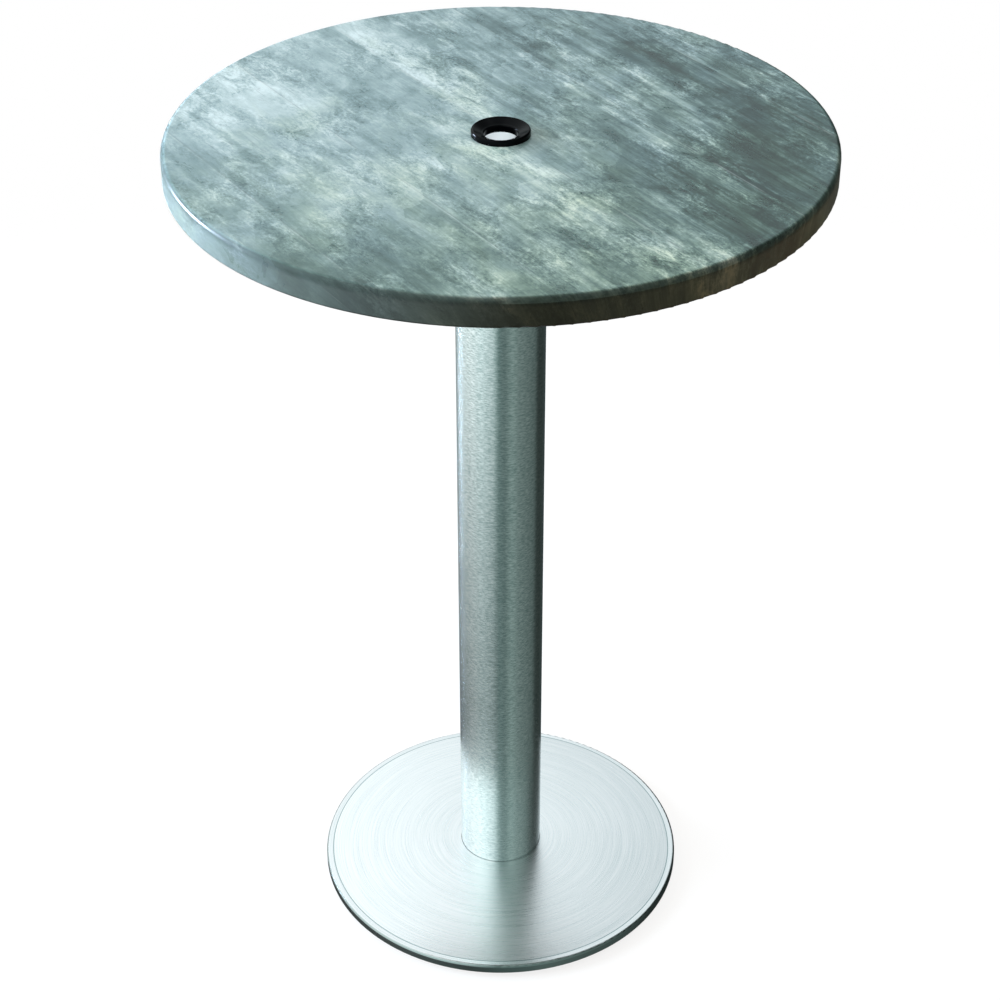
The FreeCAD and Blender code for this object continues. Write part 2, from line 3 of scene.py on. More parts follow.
import bpy
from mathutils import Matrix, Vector


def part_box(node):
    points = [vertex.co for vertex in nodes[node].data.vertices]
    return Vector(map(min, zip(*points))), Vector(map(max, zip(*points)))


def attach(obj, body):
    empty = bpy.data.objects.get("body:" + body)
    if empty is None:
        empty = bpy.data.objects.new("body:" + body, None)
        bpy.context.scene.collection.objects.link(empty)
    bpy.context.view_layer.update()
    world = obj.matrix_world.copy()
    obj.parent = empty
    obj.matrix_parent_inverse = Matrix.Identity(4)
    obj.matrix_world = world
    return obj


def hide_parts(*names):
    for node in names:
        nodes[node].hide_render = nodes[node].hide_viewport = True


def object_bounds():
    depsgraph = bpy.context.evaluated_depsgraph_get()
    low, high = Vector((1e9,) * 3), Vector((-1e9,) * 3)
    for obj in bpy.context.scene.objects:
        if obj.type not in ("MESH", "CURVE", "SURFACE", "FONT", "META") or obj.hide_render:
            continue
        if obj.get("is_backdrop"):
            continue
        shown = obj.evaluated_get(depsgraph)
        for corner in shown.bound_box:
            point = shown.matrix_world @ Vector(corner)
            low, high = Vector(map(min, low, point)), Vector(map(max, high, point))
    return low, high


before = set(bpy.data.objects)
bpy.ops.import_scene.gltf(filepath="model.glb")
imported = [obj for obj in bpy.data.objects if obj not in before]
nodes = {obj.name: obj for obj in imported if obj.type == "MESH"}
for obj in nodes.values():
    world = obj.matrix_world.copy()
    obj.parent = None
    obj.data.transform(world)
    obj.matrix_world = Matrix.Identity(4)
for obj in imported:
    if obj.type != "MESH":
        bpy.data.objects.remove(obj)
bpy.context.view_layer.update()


# Levelling glide pads: four nylon discs under the base, injection moulded, each snapped
# over the button of its stem. They are black, fine grained and slightly scuffed.
def linear(hex_colour):
    """An sRGB hex colour as linear RGBA."""
    channels = [int(hex_colour[start:start + 2], 16) / 255 for start in (1, 3, 5)]
    return [c / 12.92 if c <= 0.04045 else ((c + 0.055) / 1.055) ** 2.4 for c in channels] + [1.0]


def add_node(material, kind, settings, links):
    """A shader node with its settings, by attribute or socket, and the outputs linked to its sockets."""
    node = material.node_tree.nodes.new(f"ShaderNode{kind}")
    for name, value in settings.items():
        if isinstance(name, str) and hasattr(node, name):
            setattr(node, name, value)
        else:
            node.inputs[name].default_value = value
    for socket, output in links.items():
        material.node_tree.links.new(output, node.inputs[socket])
    return node


def bare_material(name):
    """A material with only its shader and output, and the Object coordinates of what it is on."""
    material = bpy.data.materials.new(name)
    material.use_nodes = True
    return material, add_node(material, "TexCoord", {}, {}).outputs["Object"]


def set_shader(material, settings, links):
    """The material's shader gets its even values and the outputs linked to its sockets."""
    shader = material.node_tree.nodes["Principled BSDF"]
    for socket, value in settings.items():
        shader.inputs[socket].default_value = value
    for socket, output in links.items():
        material.node_tree.links.new(output, shader.inputs[socket])


def per_metre(millimetres):
    """The texture scale that makes features of this size on coordinates in metres."""
    return 1000 / millimetres


def moulded_nylon():
    """Polyamide, moulded: black with a dull sheen, a fine grain, and paler scuffs."""
    material, place = bare_material("moulded_nylon")
    grain = add_node(material, "TexNoise", {"Scale": per_metre(0.8), "Detail": 3}, {"Vector": place})
    scuff = add_node(material, "TexNoise", {"Scale": per_metre(6), "Detail": 5, "Roughness": 0.65},
                     {"Vector": place}).outputs["Fac"]
    worn = add_node(material, "MapRange", {"From Min": 0.55, "From Max": 0.75}, {"Value": scuff})
    colour = add_node(material, "MixRGB", {"Color1": linear("#131415"), "Color2": linear("#2E2F30")},
                      {"Fac": worn.outputs["Result"]}).outputs["Color"]
    gloss = add_node(material, "MapRange", {"To Min": 0.42, "To Max": 0.62},
                     {"Value": scuff}).outputs["Result"]
    bump = add_node(material, "Bump", {"Strength": 0.2, "Distance": 0.0001},
                    {"Height": grain.outputs["Fac"]}).outputs["Normal"]
    set_shader(material, {"IOR": 1.53}, {"Base Color": colour, "Roughness": gloss, "Normal": bump})
    return material


def finish(material, *names):
    """The CAD nodes of these names get the material."""
    for name in names:
        for slot in nodes[name].material_slots:
            slot.material = material


GLIDES = (1, 2, 3, 4)
finish(moulded_nylon(), *(f"glide_pad_{number}" for number in GLIDES))


# Glide stems: turned steel, zinc plated, with a button in the pad and a hexagon collar for a
# spanner. A rolled thread of 1.5 mm pitch screws up into the ballast plate.
def zinc_plated_steel():
    """Zinc plate, clear passivated: silver with faint blue and straw clouds, finely scuffed."""
    material, place = bare_material("zinc_plated_steel")
    cloud = add_node(material, "TexNoise", {"Scale": per_metre(9), "Detail": 4}, {"Vector": place})
    tint = add_node(material, "MapRange", {"From Min": 0.35, "From Max": 0.65},
                    {"Value": cloud.outputs["Fac"]})
    colour = add_node(material, "MixRGB", {"Color1": linear("#B4BEC8"), "Color2": linear("#CDCBBF")},
                      {"Fac": tint.outputs["Result"]}).outputs["Color"]
    scuff = add_node(material, "TexNoise", {"Scale": per_metre(0.7), "Detail": 3, "Roughness": 0.6},
                     {"Vector": place}).outputs["Fac"]
    gloss = add_node(material, "MapRange", {"To Min": 0.22, "To Max": 0.46},
                     {"Value": scuff}).outputs["Result"]
    bump = add_node(material, "Bump", {"Strength": 0.12, "Distance": 0.0001},
                    {"Height": scuff}).outputs["Normal"]
    set_shader(material, {"Metallic": 1}, {"Base Color": colour, "Roughness": gloss, "Normal": bump})
    return material


zinc = zinc_plated_steel()

THREAD_PITCH = 0.0015
THREAD_TURNS = 9
THREAD_STEPS = 36
THREAD_CREST = 0.00498
THREAD_ROOT = 0.0041
THREAD_FOOT = 0.0066
FLANK_SHARE = 0.36
FLAT_SHARE = 0.14
PLAIN_FOOT = 0.0082
PLAIN_TIP = 0.0199
STEM_CREASE = math.radians(25)
SAME_POINT = 0.000002
bpy.ops.object.select_all(action="DESELECT")
bpy.ops.mesh.primitive_plane_add(size=THREAD_PITCH, location=(THREAD_ROOT, 0, THREAD_FOOT))
thread = bpy.context.object
thread.name = "thread"
bpy.ops.object.transform_apply(location=True, rotation=False, scale=False)
bpy.ops.object.mode_set(mode="EDIT")
bpy.ops.mesh.select_all(action="SELECT")
bpy.ops.mesh.merge(type="CENTER")
flank = THREAD_CREST - THREAD_ROOT
for outward, share in ((flank, FLANK_SHARE), (0, FLAT_SHARE), (-flank, FLANK_SHARE), (0, FLAT_SHARE)):
    bpy.ops.mesh.extrude_vertices_move(TRANSFORM_OT_translate={"value": (outward, 0, share * THREAD_PITCH)})
bpy.ops.object.mode_set(mode="OBJECT")
bpy.ops.object.modifier_add(type="SCREW")
winding = thread.modifiers[-1]
winding.screw_offset = THREAD_PITCH
winding.iterations = THREAD_TURNS
winding.steps = winding.render_steps = THREAD_STEPS
bpy.ops.object.modifier_apply(modifier=winding.name)
bpy.ops.object.mode_set(mode="EDIT")
bpy.ops.mesh.select_all(action="SELECT")
bpy.ops.mesh.remove_doubles(threshold=SAME_POINT)
bpy.ops.mesh.fill_holes(sides=0)
bpy.ops.mesh.select_all(action="SELECT")
bpy.ops.mesh.normals_make_consistent(inside=False)
bpy.ops.object.mode_set(mode="OBJECT")

for number in GLIDES:
    solid = nodes[f"glide_stem_{number}"]
    low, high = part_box(f"glide_stem_{number}")
    bpy.ops.object.select_all(action="DESELECT")
    thread.select_set(True)
    bpy.context.view_layer.objects.active = thread
    bpy.ops.object.duplicate()
    stem = bpy.context.object
    stem.location = ((low.x + high.x) / 2, (low.y + high.y) / 2, 0)
    bpy.ops.object.transform_apply(location=True, rotation=False, scale=False)
    for level, keeps_below in ((PLAIN_FOOT, True), (PLAIN_TIP, False)):
        plain = solid.copy()
        plain.data = solid.data.copy()
        plain.parent = None
        plain.matrix_world.identity()
        bpy.context.scene.collection.objects.link(plain)
        bpy.ops.object.select_all(action="DESELECT")
        plain.select_set(True)
        bpy.context.view_layer.objects.active = plain
        bpy.ops.object.mode_set(mode="EDIT")
        bpy.ops.mesh.select_all(action="SELECT")
        bpy.ops.mesh.remove_doubles(threshold=SAME_POINT)
        bpy.ops.mesh.select_all(action="SELECT")
        bpy.ops.mesh.bisect(plane_co=(0, 0, level), plane_no=(0, 0, 1), use_fill=True,
                            clear_outer=keeps_below, clear_inner=not keeps_below)
        bpy.ops.object.mode_set(mode="OBJECT")
        stem.select_set(True)
        bpy.context.view_layer.objects.active = stem
        bpy.ops.object.join()
    stem.name = f"threaded_stem_{number}"
    stem.data.materials.clear()
    stem.data.materials.append(zinc)
    bpy.ops.object.shade_smooth_by_angle(angle=STEM_CREASE)
    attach(stem, f"stem_{number}")
    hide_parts(f"glide_stem_{number}")
bpy.data.objects.remove(thread)


# Ballast plate: a steel disc, plasma cut and drilled, black powder coated. The column stands
# on it and the glides screw into it.
def black_powder_coat():
    """Powder coat on steel: black, satin, with the shallow orange peel that baking leaves."""
    material, place = bare_material("black_powder_coat")
    peel = add_node(material, "TexNoise", {"Scale": per_metre(1.6), "Detail": 2}, {"Vector": place})
    dust = add_node(material, "TexNoise", {"Scale": per_metre(35), "Detail": 6, "Roughness": 0.6},
                    {"Vector": place}).outputs["Fac"]
    colour = add_node(material, "MixRGB", {"Color1": linear("#161718"), "Color2": linear("#26282A")},
                      {"Fac": dust}).outputs["Color"]
    gloss = add_node(material, "MapRange", {"To Min": 0.38, "To Max": 0.56},
                     {"Value": dust}).outputs["Result"]
    bump = add_node(material, "Bump", {"Strength": 0.35, "Distance": 0.0002},
                    {"Height": peel.outputs["Fac"]}).outputs["Normal"]
    set_shader(material, {}, {"Base Color": colour, "Roughness": gloss, "Normal": bump})
    return material


powder_coat = black_powder_coat()
finish(powder_coat, "ballast_plate")


# Column: a round stainless tube, belt brushed round its girth, with a steel flange welded
# in each end. Light from it is drawn out up and down, across the brush lines.
BRUSHED_DRAW = 0.95
ACROSS_THE_LINES = 0.25


def brushed_stainless():
    """Stainless steel, brushed round the tube: sharp sideways, drawn out lengthways, with short broken lines.
    The real lines, some 0.2 mm apart, are drawn as a grain of 5 by 1.5 mm so that they show. The grain
    is fainter near the foot."""
    material, place = bare_material("brushed_stainless")
    stretch = add_node(material, "Mapping", {"Scale": [per_metre(size) for size in (5, 5, 1.5)]},
                       {"Vector": place})
    lines = add_node(material, "TexNoise", {"Scale": 1, "Detail": 2, "Roughness": 0.5},
                     {"Vector": stretch.outputs["Vector"]}).outputs["Fac"]
    cloud = add_node(material, "TexNoise", {"Scale": per_metre(70), "Detail": 3}, {"Vector": place})
    shine = add_node(material, "MapRange", {"From Min": 0.3, "From Max": 0.7}, {"Value": lines})
    parts = add_node(material, "SeparateXYZ", {}, {"Vector": place})
    above_foot = add_node(material, "MapRange", {"From Min": 0.1, "From Max": 0.3},
                          {"Value": parts.outputs["Z"]})
    hollows = add_node(material, "MixRGB", {"Color1": linear("#C9D8DA"), "Color2": linear("#B8CAC9")},
                       {"Fac": above_foot.outputs["Result"]})
    colour = add_node(material, "MixRGB", {"Color2": linear("#F8FFFF")},
                      {"Fac": shine.outputs["Result"], "Color1": hollows.outputs["Color"]}).outputs["Color"]
    gloss = add_node(material, "MapRange", {"To Min": 0.16, "To Max": 0.21},
                     {"Value": cloud.outputs["Fac"]}).outputs["Result"]
    bump = add_node(material, "Bump", {"Strength": 0.04, "Distance": 0.0003},
                    {"Height": lines}).outputs["Normal"]
    around = add_node(material, "Tangent", {"direction_type": "RADIAL", "axis": "Z"}, {}).outputs["Tangent"]
    set_shader(material,
               {"Metallic": 1, "Anisotropic": BRUSHED_DRAW, "Anisotropic Rotation": ACROSS_THE_LINES},
               {"Base Color": colour, "Roughness": gloss, "Normal": bump, "Tangent": around})
    return material


finish(brushed_stainless(), "column")
finish(powder_coat, "foot_flange", "upper_flange")


# Base screws: four countersunk steel screws, cold headed with a hexagon socket and zinc plated,
# driven up through the ballast plate into the foot flange.
SCREW_SIDES = 48
SCREW_CREASE = math.radians(35)
EASED_EDGE = 0.00015


def socket_screw(rings, flats, depth):
    """A screw at the origin, head down. Its skin climbs from the head's face by rings of radius and
    height, and the hexagon socket is given by its width across flats and its depth."""
    bpy.ops.object.select_all(action="DESELECT")
    bpy.ops.mesh.primitive_circle_add(vertices=SCREW_SIDES, radius=rings[0][0])
    screw = bpy.context.object
    bpy.ops.object.mode_set(mode="EDIT")
    bpy.ops.mesh.select_all(action="SELECT")
    for (radius, height), (next_radius, next_height) in zip(rings, rings[1:]):
        bpy.ops.mesh.extrude_edges_move(TRANSFORM_OT_translate={"value": (0, 0, next_height - height)})
        bpy.ops.transform.resize(value=(next_radius / radius, next_radius / radius, 1))
    bpy.ops.mesh.select_all(action="SELECT")
    bpy.ops.mesh.fill_holes(sides=0)
    bpy.ops.mesh.select_all(action="SELECT")
    bpy.ops.mesh.normals_make_consistent(inside=False)
    bpy.ops.object.mode_set(mode="OBJECT")
    bpy.ops.mesh.primitive_cylinder_add(vertices=6, radius=flats / math.sqrt(3), depth=2 * depth)
    punch = bpy.context.object
    bpy.context.view_layer.objects.active = screw
    bpy.ops.object.modifier_add(type="BOOLEAN")
    punched = screw.modifiers[-1]
    punched.object = punch
    bpy.ops.object.modifier_apply(modifier=punched.name)
    bpy.data.objects.remove(punch)
    bpy.ops.object.modifier_add(type="BEVEL")
    eased = screw.modifiers[-1]
    eased.width = EASED_EDGE
    eased.segments = 2
    bpy.ops.object.modifier_apply(modifier=eased.name)
    return screw


def round_column(reach, turns, height):
    """Places on a circle round the column's middle line, at these turns in degrees."""
    angles = [math.radians(turn) for turn in turns]
    return [(reach * math.cos(angle), reach * math.sin(angle), height) for angle in angles]


def set_of_screws(screw, places, name):
    """Copies of the screw at these places, each with its own mesh, joined in one zinc-plated piece."""
    copies = []
    for place in places:
        bpy.ops.object.select_all(action="DESELECT")
        screw.select_set(True)
        bpy.context.view_layer.objects.active = screw
        bpy.ops.object.duplicate()
        copy = bpy.context.object
        copy.location = place
        bpy.ops.object.transform_apply(location=True, rotation=False, scale=False)
        copies.append(copy)
    bpy.data.objects.remove(screw)
    for copy in copies:
        copy.select_set(True)
    bpy.ops.object.join()
    piece = bpy.context.object
    piece.name = name
    piece.data.materials.append(zinc)
    bpy.ops.object.shade_smooth_by_angle(angle=SCREW_CREASE)
    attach(piece, "table")
    return piece


BASE_SCREW_RINGS = ((0.01, 0), (0.005, 0.005), (0.005, 0.02))
BASE_SCREW_REACH = 0.036
BASE_SCREW_TURNS = (45, 135, 225, 315)
BASE_SOCKET_FLATS = 0.006
BASE_SOCKET_DEPTH = 0.004
base_head_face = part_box("base_screws")[0].z
base_places = round_column(BASE_SCREW_REACH, BASE_SCREW_TURNS, base_head_face)
base_screw = socket_screw(BASE_SCREW_RINGS, BASE_SOCKET_FLATS, BASE_SOCKET_DEPTH)
base_set = set_of_screws(base_screw, base_places, "base_socket_screws")
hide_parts("base_screws")


# Base cover: stainless sheet spun to a shallow dome with a turned-down rim, dropped over the
# column onto the ballast plate. Its face is turned in rings, with a thin line of painted shade near the rim
# and painted shade on the rim.
SHADE_LINE_INSET = 0.009
SHADE_LINE_HALF_WIDTH = 0.0006
RIM_SHADE_INSETS = (0.0025, 0.001)
TURNED_DRAW = 0.3


def turned_stainless(cover_radius):
    """Stainless steel with turned rings: bright, light drawn out along the radius, rings of uneven depth.
    The rings are drawn 1.3 mm apart so that they show. A thin line of painted shade lies near the rim, and
    the rim is darkened with painted shade."""
    material, place = bare_material("turned_stainless")
    parts = add_node(material, "SeparateXYZ", {}, {"Vector": place}).outputs
    flat = add_node(material, "CombineXYZ", {}, {"X": parts["X"], "Y": parts["Y"]})
    radius = add_node(material, "VectorMath", {"operation": "LENGTH"},
                      {0: flat.outputs["Vector"]}).outputs["Value"]
    spread = add_node(material, "CombineXYZ", {}, {"X": parts["X"], "Y": parts["Y"], "Z": radius})
    stretch = add_node(material, "Mapping", {"Scale": [per_metre(size) for size in (110, 110, 1.3)]},
                       {"Vector": spread.outputs["Vector"]})
    rings = add_node(material, "TexNoise", {"Scale": 1, "Detail": 3, "Roughness": 0.65},
                     {"Vector": stretch.outputs["Vector"]}).outputs["Fac"]
    colour = add_node(material, "MixRGB", {"Color1": linear("#C2CACB"), "Color2": linear("#FFFAFA")},
                      {"Fac": rings})
    # Painted shade: a thin darker ring near the rim, standing in for the shade at the crease there.
    painted_shade_line = add_node(material, "Math",
                      {"operation": "COMPARE", 1: cover_radius - SHADE_LINE_INSET, 2: SHADE_LINE_HALF_WIDTH},
                      {0: radius})
    with_painted_shade_line = add_node(material, "MixRGB", {"Color2": linear("#93A3A4")},
                       {"Fac": painted_shade_line.outputs["Value"], "Color1": colour.outputs["Color"]})
    # Painted shade: the outermost millimetres of the cover, rim included, are mixed darker.
    inner, outer = [cover_radius - inset for inset in RIM_SHADE_INSETS]
    rim = add_node(material, "MapRange", {"From Min": inner, "From Max": outer}, {"Value": radius})
    with_rim_shade = add_node(material, "MixRGB", {"Color2": linear("#98A3A2")},
                      {"Fac": rim.outputs["Result"], "Color1": with_painted_shade_line.outputs["Color"]}).outputs["Color"]
    gloss = add_node(material, "MapRange", {"To Min": 0.24, "To Max": 0.32},
                     {"Value": rings}).outputs["Result"]
    bump = add_node(material, "Bump", {"Strength": 0.15, "Distance": 0.0003},
                    {"Height": rings}).outputs["Normal"]
    around = add_node(material, "Tangent", {"direction_type": "RADIAL", "axis": "Z"}, {}).outputs["Tangent"]
    set_shader(material,
               {"Metallic": 1, "Anisotropic": TURNED_DRAW, "Anisotropic Rotation": ACROSS_THE_LINES},
               {"Base Color": with_rim_shade, "Roughness": gloss, "Normal": bump, "Tangent": around})
    return material


finish(turned_stainless(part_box("base_cover")[1].x), "base_cover")


# Mounting spider: a laser-cut steel plate with four arms, black powder coated, and the
# countersunk screws that pull it onto the column's upper flange.
finish(powder_coat, "mounting_spider")
finish(zinc, "spider_screws")


# Table top: wood fibre and resin, pressed hot in one piece under a printed film that wraps over
# the edge. The film shows worn plaster at the left that turns into weathered grey boards at the
# right: pale sage and blue grey clouds, streaked one way, and darker toward the right partly by painted
# shade.
TOP_REACH = 0.38
BOARD_TURN = math.radians(56.3)
BOARD_WIDTH = 155
FIRST_SHADE = 0.172
SHADE_STEP = 0.138


def set_stops(ramp, steps):
    """The stops of a colour ramp, as pairs of place and linear colour in rising order."""
    stops = ramp.color_ramp.elements
    for stop, (place, colour) in zip(stops, (steps[0], steps[-1])):
        stop.position, stop.color = place, colour
    for place, colour in steps[1:-1]:
        stops.new(place).color = colour


def broad_tones_and_shade(material, across):
    """The print's tone in broad lanes: pale boards at the left, darker toward the right, partly print and
    partly painted shade.
    """
    tones = []
    for axis, steps in (
        ("Y", ((0.1, 0.63), (0.25, 0.74), (0.5, 0.66), (0.6, 0.38), (0.8, 0.45), (0.95, 0.05))),
        # Across X the tone darkens toward the right: partly the print, partly painted shade for the weaker
        # light there.
        ("X", ((0.2, 0.63), (0.6, 0.51), (0.8, 0.26), (0.95, 0.3))),
    ):
        lane = add_node(material, "MapRange", {"From Min": -TOP_REACH, "From Max": TOP_REACH},
                        {"Value": across[axis]})
        lanes = add_node(material, "ValToRGB", {}, {"Fac": lane.outputs["Result"]})
        set_stops(lanes, [(place, (tone, tone, tone, 1)) for place, tone in steps])
        tones.append(lanes.outputs["Color"])
    return add_node(material, "Math", {"operation": "ADD"}, {0: tones[0], 1: tones[1]}).outputs["Value"]


def print_layers(material, along):
    """The layers of the print: noise drawn out along the boards, with lengths and widths in millimetres,
    and frayed patches like plaster laid on in turns. Grain and fibre are coarser than real ones, so
    that they show."""
    layers = {}
    for name, length, width, detail, uneven, warp in (
        ("cloud", 210, 120, 3, 0.5, 0.3),
        ("board", 420, 48, 4, 0.5, 0.4),
        ("wear", 110, 55, 3, 0.6, 0.6),
        ("blotch", 75, 60, 9, 0.66, 0.5),
        ("streak", 260, 9, 4, 0.6, 0.2),
        ("wisp", 38, 17, 9, 0.73, 0.7),
        ("grain", 5, 3.5, 5, 0.8, 0.0),
        ("fibre", 30, 1.8, 4, 0.7, 0.0),
        ("torn", 30, 13, 10, 0.84, 0.3),
        ("scratch", 90, 2.4, 2, 0.5, 0.0),
        ("stain", 130, 70, 4, 0.6, 0.4),
    ):
        stretch = add_node(material, "Mapping",
                           {"Scale": [per_metre(size) for size in (length, width, width)]},
                           {"Vector": along})
        settings = {"Scale": 1, "Detail": detail, "Roughness": uneven, "Distortion": warp}
        layers[name] = add_node(material, "TexNoise", settings,
                                {"Vector": stretch.outputs["Vector"]}).outputs["Fac"]
    frayed = add_node(material, "TexNoise", {"Scale": per_metre(22), "Detail": 5, "Roughness": 0.65},
                      {"Vector": along})
    crooked = add_node(material, "VectorMath", {"operation": "MULTIPLY_ADD", 1: (0.03, 0.03, 0)},
                       {0: frayed.outputs["Color"], 2: along})
    slabs = add_node(material, "Mapping", {"Scale": [per_metre(size) for size in (120, 80, 80)]},
                     {"Vector": crooked.outputs["Vector"]})
    settings = {"voronoi_dimensions": "2D", "distance": "CHEBYCHEV", "Scale": 1}
    layers["patch"] = add_node(material, "TexVoronoi", settings,
                               {"Vector": slabs.outputs["Vector"]}).outputs["Color"]
    return layers


def ripple_of(material, layers, sideways):
    """The layers weighed and added up round zero. Streaks and fibres grow toward the right, where the
    whole print is bolder, and wisps and grain come and go with the wear."""
    busy = add_node(material, "MapRange", {"From Min": 0.4, "From Max": 0.6, "To Min": 0.3, "To Max": 1.6},
                    {"Value": layers["wear"]}).outputs["Result"]
    woody = add_node(material, "MapRange",
                     {"From Min": -0.25, "From Max": 0.25, "To Min": 0.3, "To Max": 1.2},
                     {"Value": sideways}).outputs["Result"]
    bold = add_node(material, "MapRange", {"From Min": -0.2, "From Max": 0.3, "To Min": 0.95, "To Max": 1.5},
                    {"Value": sideways}).outputs["Result"]
    sums = {}
    for name, weight, mask in (
        ("cloud", 0.6, None), ("board", 0.8, None), ("blotch", 1.0, None), ("patch", 0.22, None),
        ("streak", 0.75, woody), ("fibre", 0.4, woody), ("wisp", 1.15, busy), ("grain", 0.85, busy),
    ):
        level = add_node(material, "Math", {"operation": "SUBTRACT", 1: 0.5},
                         {0: layers[name]}).outputs["Value"]
        if mask is not None:
            level = add_node(material, "Math", {"operation": "MULTIPLY"},
                             {0: level, 1: mask}).outputs["Value"]
        added = add_node(material, "Math", {"operation": "MULTIPLY_ADD", 1: weight, 2: 0}, {0: level, **sums})
        sums = {2: added.outputs["Value"]}
    return add_node(material, "Math", {"operation": "MULTIPLY"}, {0: sums[2], 1: bold}).outputs["Value"]


def printed_colour(material, tone, layers, flat):
    """The print's colour from its tone, bluer toward the far left, with torn spots, scratches and seams."""
    depth = add_node(material, "MapRange", {"From Min": -0.25, "From Max": 1.2}, {"Value": tone})
    palette = add_node(material, "ValToRGB", {}, {"Fac": depth.outputs["Result"]})
    shades = ("#283B38", "#364D4A", "#4D6461", "#687F7B", "#869A95", "#A6B6AF", "#C0CDC5")
    even_steps = [(FIRST_SHADE + SHADE_STEP * step, linear(shade)) for step, shade in enumerate(shades)]
    set_stops(palette, [(0, linear("#1B2B29"))] + even_steps)
    slant = add_node(material, "VectorMath", {"operation": "DOT_PRODUCT", 1: (0.8, -1.2, 0)}, {0: flat})
    hue = add_node(material, "Math", {"operation": "MULTIPLY_ADD", 1: 2.0, 2: -0.76}, {0: layers["stain"]})
    drift = add_node(material, "Math", {"operation": "ADD"},
                     {0: slant.outputs["Value"], 1: hue.outputs["Value"]})
    tint = add_node(material, "MixRGB",
                    {"Color1": linear("#EFF5FF"), "Color2": linear("#FBFDEB"), "use_clamp": True},
                    {"Fac": drift.outputs["Value"]})
    marked = add_node(material, "MixRGB", {"blend_type": "MULTIPLY", "Fac": 1},
                      {"Color1": palette.outputs["Color"], "Color2": tint.outputs["Color"]}).outputs["Color"]
    broken = add_node(material, "MapRange", {"From Min": 0.42, "From Max": 0.58}, {"Value": layers["blotch"]})
    for layer, start, full, amount, shade in (
        ("torn", 0.43, 0.34, 0.55, "#38474E"),
        ("torn", 0.6, 0.68, 0.35, "#A9B7AE"),
        ("scratch", 0.66, 0.76, 0.35, "#B4C1BA"),
        ("scratch", 0.36, 0.26, 0.45, "#36444A"),
        ("seam", 0.02, 0.005, 0.28, "#34434A"),
        ("seam", 0.98, 0.995, 0.22, "#B4C1BA"),
    ):
        extent = add_node(material, "MapRange", {"From Min": start, "From Max": full, "To Max": amount},
                          {"Value": layers[layer]})
        patchy = add_node(material, "Math", {"operation": "MULTIPLY"},
                          {0: extent.outputs["Result"], 1: broken.outputs["Result"]})
        marked = add_node(material, "MixRGB", {"Color2": linear(shade)},
                          {"Fac": patchy.outputs["Value"], "Color1": marked}).outputs["Color"]
    return marked


def wrapped_colour(material, marked, drop):
    """The print over the edge: painted shade on the rounding, calmer on the side."""
    side = add_node(material, "MapRange", {"From Min": 0.003, "From Max": 0.01, "To Max": 0.5},
                    {"Value": drop})
    calm = add_node(material, "MixRGB", {"Color2": linear("#646A65")},
                    {"Fac": side.outputs["Result"], "Color1": marked})
    # Painted shade: the print is mixed darker on the rounding between the face and the side.
    past_face = add_node(material, "MapRange", {"From Min": 0.0002, "From Max": 0.0014, "To Max": 0.6},
                         {"Value": drop})
    above_side = add_node(material, "MapRange", {"From Min": 0.011, "From Max": 0.004}, {"Value": drop})
    painted_rounding_shade = add_node(material, "Math", {"operation": "MULTIPLY"},
                         {0: past_face.outputs["Result"], 1: above_side.outputs["Result"]})
    return add_node(material, "MixRGB", {"Color2": linear("#262D2A")},
                    {"Fac": painted_rounding_shade.outputs["Value"], "Color1": calm.outputs["Color"]}).outputs["Color"]


